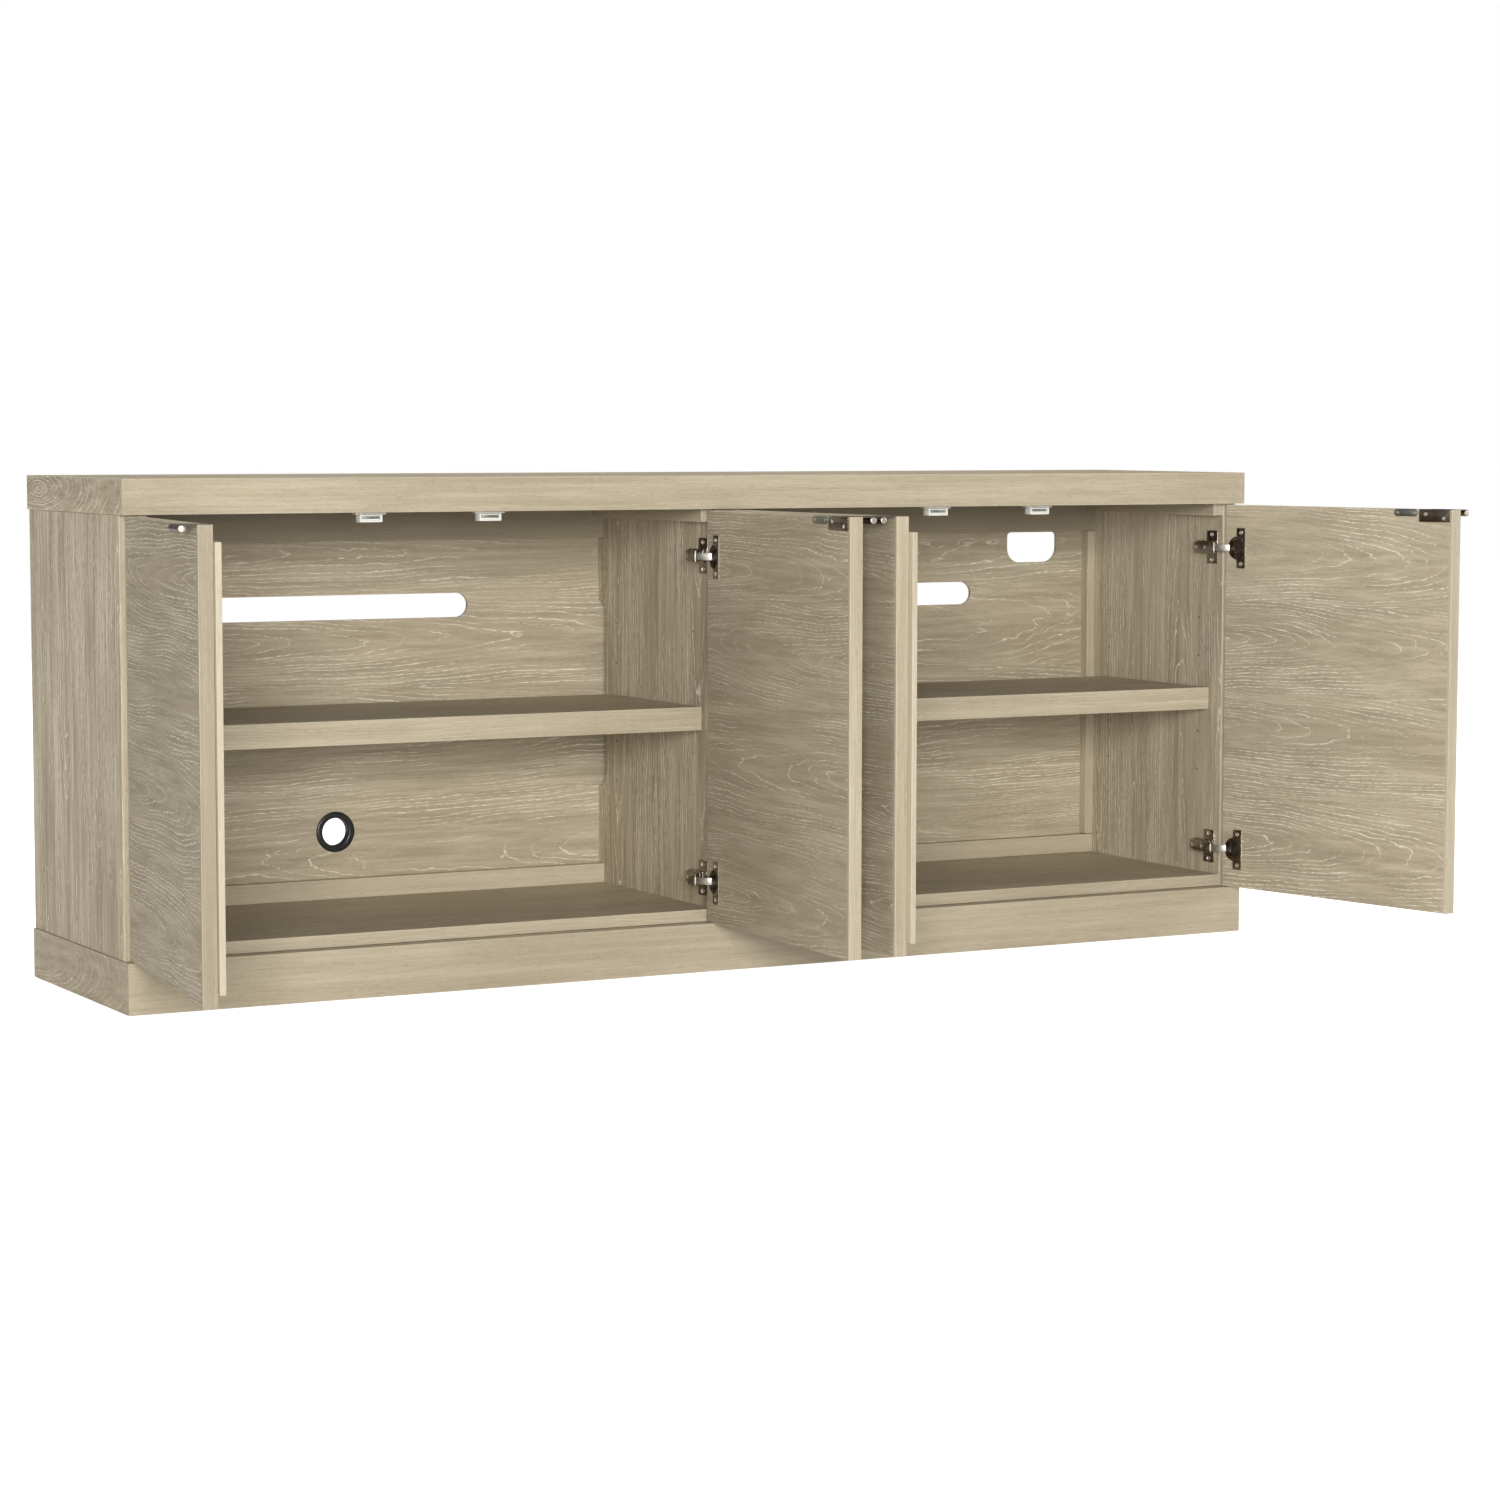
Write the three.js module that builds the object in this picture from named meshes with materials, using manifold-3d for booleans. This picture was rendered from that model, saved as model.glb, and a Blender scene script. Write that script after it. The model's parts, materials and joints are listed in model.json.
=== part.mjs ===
// Media cabinet: a low two-bay cabinet with four overlay doors, shown with its doors standing open.
// Millimetres, +X to the right, +Y to the back, +Z up. The origin is on the floor under the middle
// of the case. Each door turns on two concealed hinges: an arm on the case, a cup let into the
// door, and a link between them.

import * as THREE from "three";
import { mergeVertices } from "three/addons/utils/BufferGeometryUtils.js";
import Module from "manifold-3d";

const wasm = await Module();
wasm.setup();

// ---- Case ----------------------------------------------------------------------------------

const CASE_WIDTH = 1803;
const CASE_DEPTH = 406;
const CASE_HEIGHT = 711;
const SEAM = 0.3; // open line between neighbouring pieces
const PAST = 5; // how far a cutting solid reaches beyond what it cuts

const TOP_HEIGHT = 48; // height of the rails that make the top look thick
const CEILING = 12; // the panel that closes the bays from above, under the top's board
const RAIL = 22; // thickness of the top's rails and of the plinth's boards
const PLINTH_HEIGHT = 70;
const BRACE_WIDTH = 90;

const TOP_PROUD = 3; // how far the top and the plinth stand out over the side panels
const SIDE = 21;
const PARTITION = 28;
const DECK = 17.5;
const BACK = 6;
const BACK_INSET = 6; // from the rear edges to the back panel's rear face

const HALF_WIDTH = CASE_WIDTH / 2;
const FRONT = -CASE_DEPTH / 2; // outer faces of the doors, the top's front rail and the plinth
const REAR = CASE_DEPTH / 2;
const TOP_UNDERSIDE = CASE_HEIGHT - TOP_HEIGHT;
const SIDE_OUTER = HALF_WIDTH - TOP_PROUD;
const SIDE_INNER = SIDE_OUTER - SIDE;
const BAY_INNER = PARTITION / 2;
const DECK_TOP = PLINTH_HEIGHT + DECK;
const BACK_FRONT = REAR - BACK_INSET - BACK;

const BACK_RAIL = { thickness: 18, upperHeight: 50, lowerHeight: 29 };
const RAIL_NOTCH_CLEARANCE = 0.5;

// ---- Doors ---------------------------------------------------------------------------------

const DOOR = { thickness: 19, reveal: 1.5, bumperGap: 3, meetingGap: 3 };
const OUTER_EDGE = 896; // distance from the middle of the case to an outer door's hinged edge
const INNER_EDGE = 7; // the same for a door hinged on the partition
const DOOR_WIDTH = (OUTER_EDGE - INNER_EDGE - DOOR.meetingGap) / 2;
const DOOR_BOTTOM = PLINTH_HEIGHT + DOOR.reveal;
const DOOR_TOP = TOP_UNDERSIDE - DOOR.reveal;
const CASE_FRONT = FRONT + DOOR.thickness + DOOR.bumperGap;

// side is +1 for a door hinged on its left edge and -1 for one hinged on its right edge.
// open is how far the door stands open, in degrees.
const DOORS = [
  { name: "left_outer", side: 1, edge: -OUTER_EDGE, wall: -SIDE_INNER, open: 97.8, astragal: true },
  { name: "left_inner", side: -1, edge: -INNER_EDGE, wall: -BAY_INNER, open: 87.35, astragal: false },
  { name: "right_inner", side: 1, edge: INNER_EDGE, wall: BAY_INNER, open: 88.2, astragal: true },
  { name: "right_outer", side: -1, edge: OUTER_EDGE, wall: SIDE_INNER, open: 101.4, astragal: false },
];
const ROUND_SIDES = 24; // sides of the cups and their borings

// ---- Hinges --------------------------------------------------------------------------------
// Distances "in" are measured along the closed door from its hinged edge, and distances "back"
// from its outer face towards the case.

const HINGE_HEIGHTS = { lower: 130, upper: 595.5 };
const PIVOT = { in: 7, back: 5 }; // the line that the door turns about
const CUP = { centre: 22, radius: 17.5, wall: 1, depth: 13, clearance: 0.3 };
const FLANGE = { from: 24, to: 41.5, height: 62, thickness: 1.8 };
const LINK_PIN = { in: 34, back: 23.8, radius: 1.4, length: 15, clearance: 0.3 };
// The link runs from its pin into the cup, at closedAngle when the door is closed, and turns by
// turn degrees for each degree of the door. It is bowed so that it clears the cup's edge.
const LINK = { length: 26.5, closedAngle: 151, turn: 0.32, bow: 6, bowAt: 0.6, width: 10, thick: 2.2 };
const LINK_EYE = 2.6;
// The arm steps down from its nose towards the wall. base, heelTop and rearTop are heights off the
// wall, and the rest are distances back.
const ARM = { width: 15, noseRadius: 3.2, noseTo: 40, heel: 58, rear: 82, belly: 46, slotWidth: 11.2 };
const ARM_HEIGHT = { base: 7.5, heelTop: 15, rearTop: 11.5 };
const PEDESTAL = { from: 36, to: 80, width: 19 };
const WING = { from: 33, to: 60, height: 51, thickness: 2.5 };

// ---- Door furniture ------------------------------------------------------------------------

const PULL = { length: 57, plateHeight: 18.5, sheet: 1.2, endGap: 4, offset: 18, barRadius: 5 };
const ASTRAGAL = { onDoor: 18, lip: 9.5, thickness: 8, topGap: 21, bottomGap: 18 };
const CATCH = { in: 355.5, width: 33, depth: 16, height: 13, wall: 2.4, mouthDepth: 9 };
const CATCH_EAR = { width: 45, depth: 12, height: 2.5 };
const STRIKE = 1.2; // thickness of the plate on the door that meets each catch
const STRIKE_CLEARANCE = 0.5; // between a closed door's strike and its catch

// ---- Shelves and openings ------------------------------------------------------------------

const SHELF = { front: -151, back: 142, thickness: 34, top: 377.5, endGap: 1.5 };
const PIN_HOLE = { radius: 2.5, depth: 10, pitch: 59.4, middle: 366, rear: 129, front: -119 };
const SLOT = { length: 420, height: 36, middle: 515, centre: 441 };
const VENT = { centre: 767, width: 94, bottom: 562.5, top: 611, topRadius: 7, bottomRadius: 23 };
const GROMMET = { x: -446, z: 185, hole: 26, inner: 20.5, outer: 30, flange: 3, barrel: 14 };
const GROMMET_CLEARANCE = 0.5; // between the grommet's sleeve and its hole
const NOTCH = { from: 236, to: 518, depth: 26, radius: 18 };

// ---- Finishes ------------------------------------------------------------------------------

function oak(color) {
  return new THREE.MeshStandardMaterial({ color, roughness: 0.62, metalness: 0 });
}

function bronze() {
  return new THREE.MeshStandardMaterial({ color: 0x5a4d40, roughness: 0.35, metalness: 0.85 });
}

function nickel() {
  return new THREE.MeshStandardMaterial({ color: 0xc9c4ba, roughness: 0.25, metalness: 1 });
}

function whitePlastic() {
  return new THREE.MeshStandardMaterial({ color: 0xe6e4dc, roughness: 0.45, metalness: 0 });
}

function blackPlastic() {
  return new THREE.MeshStandardMaterial({ color: 0x17181a, roughness: 0.4, metalness: 0 });
}

const LIGHT_OAK = 0xbaad92;
const SHADED_OAK = 0xa09480;

// ---- Solids --------------------------------------------------------------------------------

function toSolid(geometry) {
  const plain = geometry.clone();
  plain.deleteAttribute("normal");
  plain.deleteAttribute("uv");
  const merged = mergeVertices(plain, 1e-4);
  const vertProperties = new Float32Array(merged.attributes.position.array);
  const triVerts = new Uint32Array(merged.index.array);
  return new wasm.Manifold(new wasm.Mesh({ numProp: 3, vertProperties, triVerts }));
}

function toGeometry(solid) {
  const mesh = solid.getMesh();
  const geometry = new THREE.BufferGeometry();
  geometry.setAttribute("position", new THREE.BufferAttribute(mesh.vertProperties, 3));
  geometry.setIndex(new THREE.BufferAttribute(mesh.triVerts, 1));
  geometry.computeVertexNormals();
  return geometry;
}

function cut(geometry, cutters) {
  return toGeometry(cutters.reduce((left, cutter) => left.subtract(toSolid(cutter)), toSolid(geometry)));
}

function join(geometries) {
  return toGeometry(geometries.map(toSolid).reduce((all, next) => all.add(next)));
}

function block([x0, x1], [y0, y1], [z0, z1]) {
  const geometry = new THREE.BoxGeometry(Math.abs(x1 - x0), Math.abs(y1 - y0), Math.abs(z1 - z0));
  return geometry.translate((x0 + x1) / 2, (y0 + y1) / 2, (z0 + z1) / 2);
}

function upright(outline, [z0, z1]) {
  const shape = Array.isArray(outline) ? new THREE.Shape(outline) : outline;
  const settings = { depth: z1 - z0, bevelEnabled: false, curveSegments: 6 };
  return new THREE.ExtrudeGeometry(shape, settings).translate(0, 0, z0);
}

// An outline drawn in X and Z, run through the case from the front to the back.
function through(shape, [y0, y1], curveSegments = 8) {
  const settings = { depth: y1 - y0, bevelEnabled: false, curveSegments };
  return new THREE.ExtrudeGeometry(shape, settings).rotateX(Math.PI / 2).translate(0, y1, 0);
}

function roundedOutline(x0, x1, z0, z1, bottomRadius, topRadius) {
  const shape = new THREE.Shape();
  shape.moveTo(x0 + bottomRadius, z0);
  shape.lineTo(x1 - bottomRadius, z0);
  shape.absarc(x1 - bottomRadius, z0 + bottomRadius, bottomRadius, -Math.PI / 2, 0);
  shape.lineTo(x1, z1 - topRadius);
  shape.absarc(x1 - topRadius, z1 - topRadius, topRadius, 0, Math.PI / 2);
  shape.lineTo(x0 + topRadius, z1);
  shape.absarc(x0 + topRadius, z1 - topRadius, topRadius, Math.PI / 2, Math.PI);
  shape.lineTo(x0, z0 + bottomRadius);
  shape.absarc(x0 + bottomRadius, z0 + bottomRadius, bottomRadius, Math.PI, 1.5 * Math.PI);
  return shape;
}

const cabinet = new THREE.Group();

function place(name, geometry, material, parent = cabinet) {
  const mesh = new THREE.Mesh(geometry, material);
  mesh.name = name;
  parent.add(mesh);
  return mesh;
}

// ---- Top and plinth ------------------------------------------------------------------------

// A frame of boards with mitred front corners: the front board, and one at each end.
function mitredFront([z0, z1]) {
  const inner = HALF_WIDTH - RAIL;
  const outline = [
    new THREE.Vector2(-HALF_WIDTH + SEAM, FRONT),
    new THREE.Vector2(HALF_WIDTH - SEAM, FRONT),
    new THREE.Vector2(inner - SEAM, FRONT + RAIL),
    new THREE.Vector2(-inner + SEAM, FRONT + RAIL),
  ];
  return upright(outline, [z0, z1]);
}

function mitredEnd(side, [z0, z1]) {
  const inner = HALF_WIDTH - RAIL;
  const outline = [
    new THREE.Vector2(side * HALF_WIDTH, FRONT + SEAM),
    new THREE.Vector2(side * HALF_WIDTH, REAR),
    new THREE.Vector2(side * inner, REAR),
    new THREE.Vector2(side * inner, FRONT + RAIL + SEAM),
  ];
  return upright(outline, [z0, z1]);
}

function addTop() {
  const height = [TOP_UNDERSIDE + SEAM, CASE_HEIGHT];
  const innerX = HALF_WIDTH - RAIL - SEAM;
  const innerY = [FRONT + RAIL + SEAM, REAR];
  place("top_front_rail", mitredFront(height), oak(LIGHT_OAK));
  place("top_left_rail", mitredEnd(-1, height), oak(LIGHT_OAK));
  place("top_right_rail", mitredEnd(1, height), oak(LIGHT_OAK));
  const boardZ = [TOP_UNDERSIDE + CEILING + SEAM, CASE_HEIGHT];
  place("top_board", block([-innerX, innerX], innerY, boardZ), oak(LIGHT_OAK));
  const ceiling = block([-innerX, innerX], innerY, [TOP_UNDERSIDE + SEAM, TOP_UNDERSIDE + CEILING]);
  place("ceiling_panel", ceiling, oak(SHADED_OAK));
}

function addPlinth() {
  const height = [0, PLINTH_HEIGHT - SEAM];
  const inner = HALF_WIDTH - RAIL - SEAM;
  const back = block([-inner, inner], [REAR - RAIL, REAR], height);
  const braceY = [FRONT + RAIL + SEAM, REAR - RAIL - SEAM];
  place("plinth_front", mitredFront(height), oak(LIGHT_OAK));
  place("plinth_left", mitredEnd(-1, height), oak(LIGHT_OAK));
  place("plinth_right", mitredEnd(1, height), oak(LIGHT_OAK));
  place("plinth_back", back, oak(SHADED_OAK));
  place("plinth_brace", block([-BRACE_WIDTH / 2, BRACE_WIDTH / 2], braceY, height), oak(SHADED_OAK));
}

// ---- Carcase -------------------------------------------------------------------------------

// Borings for shelf pins: two columns of them, in the face of a wall at x.
function pinHoles(x) {
  const holes = [];
  for (const y of [PIN_HOLE.front, PIN_HOLE.rear]) {
    for (let row = -2; row <= 2; row += 1) {
      const length = PIN_HOLE.depth * 2;
      const hole = new THREE.CylinderGeometry(PIN_HOLE.radius, PIN_HOLE.radius, length, 6);
      holes.push(hole.rotateZ(Math.PI / 2).translate(x, y, PIN_HOLE.middle + row * PIN_HOLE.pitch));
    }
  }
  return holes;
}

function addSides() {
  for (const [name, side] of [["side_left", -1], ["side_right", 1]]) {
    const x = [side * SIDE_INNER, side * SIDE_OUTER];
    const panel = block(x, [CASE_FRONT, REAR], [PLINTH_HEIGHT, TOP_UNDERSIDE]);
    place(name, cut(panel, pinHoles(side * SIDE_INNER)), oak(SHADED_OAK));
  }
}

// The partition's rear edge is notched for cables, and for the two rails that run behind it.
function addPartition() {
  const rear = BACK_FRONT - SEAM;
  const panel = block([-BAY_INNER, BAY_INNER], [CASE_FRONT, rear], [DECK_TOP + SEAM, TOP_UNDERSIDE]);
  const notch = new THREE.Shape();
  const bottom = NOTCH.from;
  const top = NOTCH.to;
  const deep = rear - NOTCH.depth;
  const past = rear + PAST;
  notch.moveTo(past, bottom);
  notch.lineTo(past, top);
  notch.lineTo(deep + NOTCH.radius, top);
  notch.absarc(deep + NOTCH.radius, top - NOTCH.radius, NOTCH.radius, Math.PI / 2, Math.PI);
  notch.lineTo(deep, bottom + NOTCH.radius);
  notch.absarc(deep + NOTCH.radius, bottom + NOTCH.radius, NOTCH.radius, Math.PI, 1.5 * Math.PI);
  const settings = { depth: PARTITION + 2 * PAST, bevelEnabled: false, curveSegments: 6 };
  const cable = new THREE.ExtrudeGeometry(notch, settings);
  cable.rotateX(Math.PI / 2).rotateZ(Math.PI / 2).translate(-BAY_INNER - PAST, 0, 0);
  const span = [-BAY_INNER - PAST, BAY_INNER + PAST];
  const railFront = BACK_FRONT - BACK_RAIL.thickness - SEAM - RAIL_NOTCH_CLEARANCE;
  const upperFrom = TOP_UNDERSIDE - BACK_RAIL.upperHeight - RAIL_NOTCH_CLEARANCE;
  const lowerTo = DECK_TOP + BACK_RAIL.lowerHeight + RAIL_NOTCH_CLEARANCE;
  const cutters = [
    cable,
    block(span, [railFront, past], [upperFrom, TOP_UNDERSIDE + PAST]),
    block(span, [railFront, past], [DECK_TOP - PAST, lowerTo]),
    ...pinHoles(-BAY_INNER),
    ...pinHoles(BAY_INNER),
  ];
  place("partition", cut(panel, cutters), oak(SHADED_OAK));
}

function addDeckAndRails() {
  const inside = SIDE_INNER - SEAM;
  const railY = [BACK_FRONT - SEAM - BACK_RAIL.thickness, BACK_FRONT - SEAM];
  const deck = block([-inside, inside], [CASE_FRONT, REAR - BACK_INSET], [PLINTH_HEIGHT, DECK_TOP]);
  const upperZ = [TOP_UNDERSIDE - BACK_RAIL.upperHeight, TOP_UNDERSIDE - SEAM];
  const lowerZ = [DECK_TOP + SEAM, DECK_TOP + BACK_RAIL.lowerHeight];
  place("deck", deck, oak(SHADED_OAK));
  place("back_rail_upper", block([-inside, inside], railY, upperZ), oak(SHADED_OAK));
  place("back_rail_lower", block([-inside, inside], railY, lowerZ), oak(SHADED_OAK));
}

function slotOutline(centre) {
  const radius = SLOT.height / 2;
  const reach = SLOT.length / 2 - radius;
  const shape = new THREE.Shape();
  shape.absarc(centre + reach, SLOT.middle, radius, -Math.PI / 2, Math.PI / 2);
  shape.absarc(centre - reach, SLOT.middle, radius, Math.PI / 2, 1.5 * Math.PI);
  return shape;
}

function addBack() {
  const inside = SIDE_INNER - SEAM;
  const y = [BACK_FRONT, BACK_FRONT + BACK];
  const pastY = [BACK_FRONT - PAST, BACK_FRONT + BACK + PAST];
  const panel = block([-inside, inside], y, [DECK_TOP + SEAM, TOP_UNDERSIDE - SEAM]);
  const vent = [VENT.centre - VENT.width / 2, VENT.centre + VENT.width / 2, VENT.bottom, VENT.top];
  const ventShape = roundedOutline(...vent, VENT.bottomRadius, VENT.topRadius);
  const round = new THREE.CylinderGeometry(GROMMET.hole, GROMMET.hole, BACK + 2 * PAST, 32);
  round.translate(GROMMET.x, BACK_FRONT + BACK / 2, GROMMET.z);
  const cutters = [
    through(slotOutline(-SLOT.centre), pastY),
    through(slotOutline(SLOT.centre), pastY),
    through(ventShape, pastY, 5),
    round,
  ];
  place("back_panel", cut(panel, cutters), oak(SHADED_OAK));
}

function addGrommet() {
  const { inner, outer, hole, flange, barrel } = GROMMET;
  const sleeve = hole - GROMMET_CLEARANCE;
  const edge = 1; // the flange's rounded edge
  const profile = [
    [inner, 0],
    [outer - edge, 0],
    [outer, edge],
    [outer, flange],
    [sleeve, flange],
    [sleeve, barrel],
    [inner, barrel],
    [inner, 0],
  ];
  const ring = new THREE.LatheGeometry(profile.map(([r, y]) => new THREE.Vector2(r, y)), 32);
  ring.translate(GROMMET.x, BACK_FRONT - SEAM - flange, GROMMET.z);
  place("grommet", ring, blackPlastic());
}

function addShelves() {
  for (const [name, side] of [["shelf_left", -1], ["shelf_right", 1]]) {
    const x = [side * (BAY_INNER + SHELF.endGap), side * (SIDE_INNER - SHELF.endGap)];
    const z = [SHELF.top - SHELF.thickness, SHELF.top];
    place(name, block(x, [SHELF.front, SHELF.back], z), oak(LIGHT_OAK));
  }
}

// ---- Catches -------------------------------------------------------------------------------

function addCatches() {
  const front = FRONT + DOOR.thickness + STRIKE + STRIKE_CLEARANCE;
  const high = TOP_UNDERSIDE - SEAM;
  const low = high - CATCH.height;
  const earY = front + CATCH.depth / 2;
  for (const door of DOORS) {
    const x = door.edge + door.side * CATCH.in;
    const across = (width) => [x - width / 2, x + width / 2];
    const body = block(across(CATCH.width), [front, front + CATCH.depth], [low, high]);
    const earDepth = [earY - CATCH_EAR.depth / 2, earY + CATCH_EAR.depth / 2];
    const ears = block(across(CATCH_EAR.width), earDepth, [high - CATCH_EAR.height, high]);
    const mouthX = across(CATCH.width - 2 * CATCH.wall);
    const mouthY = [front - PAST, front + CATCH.mouthDepth];
    const mouth = block(mouthX, mouthY, [low + CATCH.wall, high - CATCH.wall]);
    place(`catch_${door.name}`, cut(join([body, ears]), [mouth]), whitePlastic());
  }
}

// ---- Doors ---------------------------------------------------------------------------------
// Everything on a door is drawn with the door closed, in a group whose origin is the line that
// the door turns about, and the group is then turned open.

function inX(door, distance) {
  return door.side * (distance - PIVOT.in);
}

function backY(distance) {
  return distance - PIVOT.back;
}

function cupBore(door, z) {
  const radius = CUP.radius + CUP.clearance;
  const bottom = DOOR.thickness - CUP.depth - CUP.clearance;
  const length = 2 * CUP.depth;
  const bore = new THREE.CylinderGeometry(radius, radius, length, ROUND_SIDES);
  return bore.translate(inX(door, CUP.centre), backY(bottom + length / 2), z);
}

function addDoorPanel(door, group) {
  const x = [inX(door, 0), inX(door, DOOR_WIDTH)];
  const panel = block(x, [backY(0), backY(DOOR.thickness)], [DOOR_BOTTOM, DOOR_TOP]);
  const pullTo = DOOR_WIDTH - PULL.endGap;
  const recessX = [inX(door, pullTo - PULL.length - SEAM), inX(door, pullTo + SEAM)];
  const recessY = [backY(-PAST), backY(DOOR.thickness + PAST)];
  const recess = block(recessX, recessY, [DOOR_TOP - PULL.sheet - SEAM, DOOR_TOP + PAST]);
  const bores = Object.values(HINGE_HEIGHTS).map((z) => cupBore(door, z));
  place(`door_${door.name}`, cut(panel, [recess, ...bores]), oak(SHADED_OAK), group);
}

// A strip behind the free edge that covers the gap between the two doors of a bay.
function addAstragal(door, group) {
  const x = [inX(door, DOOR_WIDTH - ASTRAGAL.onDoor), inX(door, DOOR_WIDTH + ASTRAGAL.lip)];
  const front = DOOR.thickness + SEAM;
  const y = [backY(front), backY(front + ASTRAGAL.thickness)];
  const z = [DOOR_BOTTOM + ASTRAGAL.bottomGap, DOOR_TOP - ASTRAGAL.topGap];
  place(`astragal_${door.name}`, block(x, y, z), oak(LIGHT_OAK), group);
}

// A folded sheet that hooks over the door's top edge and carries a round bar in front of it.
function addPull(door, group) {
  const to = DOOR_WIDTH - PULL.endGap;
  const x = [inX(door, to - PULL.length), inX(door, to)];
  const inside = DOOR.thickness + SEAM;
  const sheetY = [backY(-PULL.offset), backY(inside + PULL.sheet)];
  const sheet = block(x, sheetY, [DOOR_TOP - PULL.sheet, DOOR_TOP]);
  const plateY = [backY(inside), backY(inside + PULL.sheet)];
  const plate = block(x, plateY, [DOOR_TOP - PULL.plateHeight, DOOR_TOP]);
  const bar = new THREE.CylinderGeometry(PULL.barRadius, PULL.barRadius, PULL.length, 16);
  bar.rotateZ(Math.PI / 2);
  bar.translate((x[0] + x[1]) / 2, backY(-PULL.offset), DOOR_TOP - PULL.barRadius);
  place(`pull_${door.name}`, join([sheet, plate, bar]), bronze(), group);
}

// ---- Hinge pieces --------------------------------------------------------------------------

// A cup open towards the case. Its flange lies on the door's inner face, away from the edge.
function addCup(door, level, z, group) {
  const centre = inX(door, CUP.centre);
  const face = DOOR.thickness;
  const flangeFace = face + SEAM + FLANGE.thickness;
  const disc = (radius, from, to) => {
    const cylinder = new THREE.CylinderGeometry(radius, radius, to - from, ROUND_SIDES);
    return cylinder.translate(centre, backY((from + to) / 2), z);
  };
  const shell = disc(CUP.radius, face - CUP.depth, face);
  const hollow = disc(CUP.radius - CUP.wall, face - CUP.depth + CUP.wall, face + CUP.depth);
  const flangeX = [inX(door, FLANGE.from), inX(door, FLANGE.to)];
  const height = [z - FLANGE.height / 2, z + FLANGE.height / 2];
  const flange = block(flangeX, [backY(face + SEAM), backY(flangeFace)], height);
  const rim = disc(CUP.radius, face - CUP.wall, flangeFace);
  const farX = [inX(door, CUP.centre), inX(door, FLANGE.to)];
  const far = block(farX, [backY(face - CUP.depth), backY(face + CUP.depth)], height);
  const farRim = toGeometry(toSolid(rim).intersect(toSolid(far)));
  const cup = cut(join([shell, farRim, flange]), [hollow]);
  place(`hinge_cup_${door.name}_${level}`, cup, bronze(), group);
}

// Points along an arc, in hinge distances.
function arcPoints([u, v], radius, from, to, steps) {
  const points = [];
  for (let step = 0; step <= steps; step += 1) {
    const angle = from + ((to - from) * step) / steps;
    points.push([u + radius * Math.cos(angle), v + radius * Math.sin(angle)]);
  }
  return points;
}

// An upright solid standing on the case, from an outline in hinge distances.
function onCase(door, points, z, width) {
  const corners = points.map(([u, v]) => new THREE.Vector2(door.edge + door.side * u, FRONT + v));
  return upright(corners, [z - width / 2, z + width / 2]);
}

function rectangle([u0, u1], [v0, v1]) {
  return [[u0, v0], [u1, v0], [u1, v1], [u0, v1]];
}

// The arm and its mounting plate stay on the case. The arm's nose is forked for the link's pin.
function addArm(door, level, z) {
  const wall = Math.abs(door.wall - door.edge) + SEAM;
  const pin = [LINK_PIN.in, LINK_PIN.back];
  const slotRear = LINK_PIN.back + LINK_EYE + 2 * SEAM;
  const base = wall + ARM_HEIGHT.base;
  const ridge = [
    ...arcPoints(pin, ARM.noseRadius, Math.PI, 2 * Math.PI, 8),
    [LINK_PIN.in + ARM.noseRadius, ARM.noseTo],
    [wall + ARM_HEIGHT.heelTop, ARM.heel],
    [wall + ARM_HEIGHT.rearTop, ARM.rear],
    [base, ARM.rear],
    [base, ARM.belly],
    [LINK_PIN.in - ARM.noseRadius, PEDESTAL.from - ARM.noseRadius],
  ];
  const pedestal = rectangle([wall, base + 1], [PEDESTAL.from, PEDESTAL.to]);
  const wing = rectangle([wall, wall + WING.thickness], [WING.from, WING.to]);
  const slotX = [LINK_PIN.in - 2 * ARM.noseRadius, LINK_PIN.in + 2 * ARM.noseRadius];
  const slot = rectangle(slotX, [0, slotRear]);
  const hole = arcPoints(pin, LINK_PIN.radius + LINK_PIN.clearance, 0, 1.875 * Math.PI, 15);
  const solid = join([
    onCase(door, ridge, z, ARM.width),
    onCase(door, pedestal, z, PEDESTAL.width),
    onCase(door, wing, z, WING.height),
  ]);
  const cutters = [onCase(door, slot, z, ARM.slotWidth), onCase(door, hole, z, 2 * ARM.width)];
  place(`hinge_arm_${door.name}_${level}`, cut(solid, cutters), bronze());
}

// The link is drawn along +X from its pin, and bows towards the middle of the cup.
function linkOutline(side) {
  const bow = new THREE.QuadraticBezierCurve(
    new THREE.Vector2(0, 0),
    new THREE.Vector2(LINK.bowAt * LINK.length, LINK.bow),
    new THREE.Vector2(LINK.length, 0),
  );
  const half = LINK.thick / 2;
  const steps = 8;
  const near = [];
  const far = [];
  for (let step = 0; step <= steps; step += 1) {
    const point = bow.getPoint(step / steps);
    const across = bow.getTangent(step / steps).rotateAround(new THREE.Vector2(), Math.PI / 2);
    near.push(point.clone().addScaledVector(across, half));
    far.unshift(point.clone().addScaledVector(across, -half));
  }
  return [...near, ...far].map(({ x, y }) => new THREE.Vector2(x, side * y));
}

function addLink(door, level, z, group) {
  const strip = upright(linkOutline(door.side), [z - LINK.width / 2, z + LINK.width / 2]);
  const eye = new THREE.CylinderGeometry(LINK_EYE, LINK_EYE, LINK.width, 16);
  eye.rotateX(Math.PI / 2).translate(0, 0, z);
  const pin = new THREE.CylinderGeometry(LINK_PIN.radius, LINK_PIN.radius, LINK_PIN.length, 12);
  pin.rotateX(Math.PI / 2).translate(0, 0, z);
  place(`hinge_link_${door.name}_${level}`, join([strip, eye, pin]), nickel(), group);
}

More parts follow.
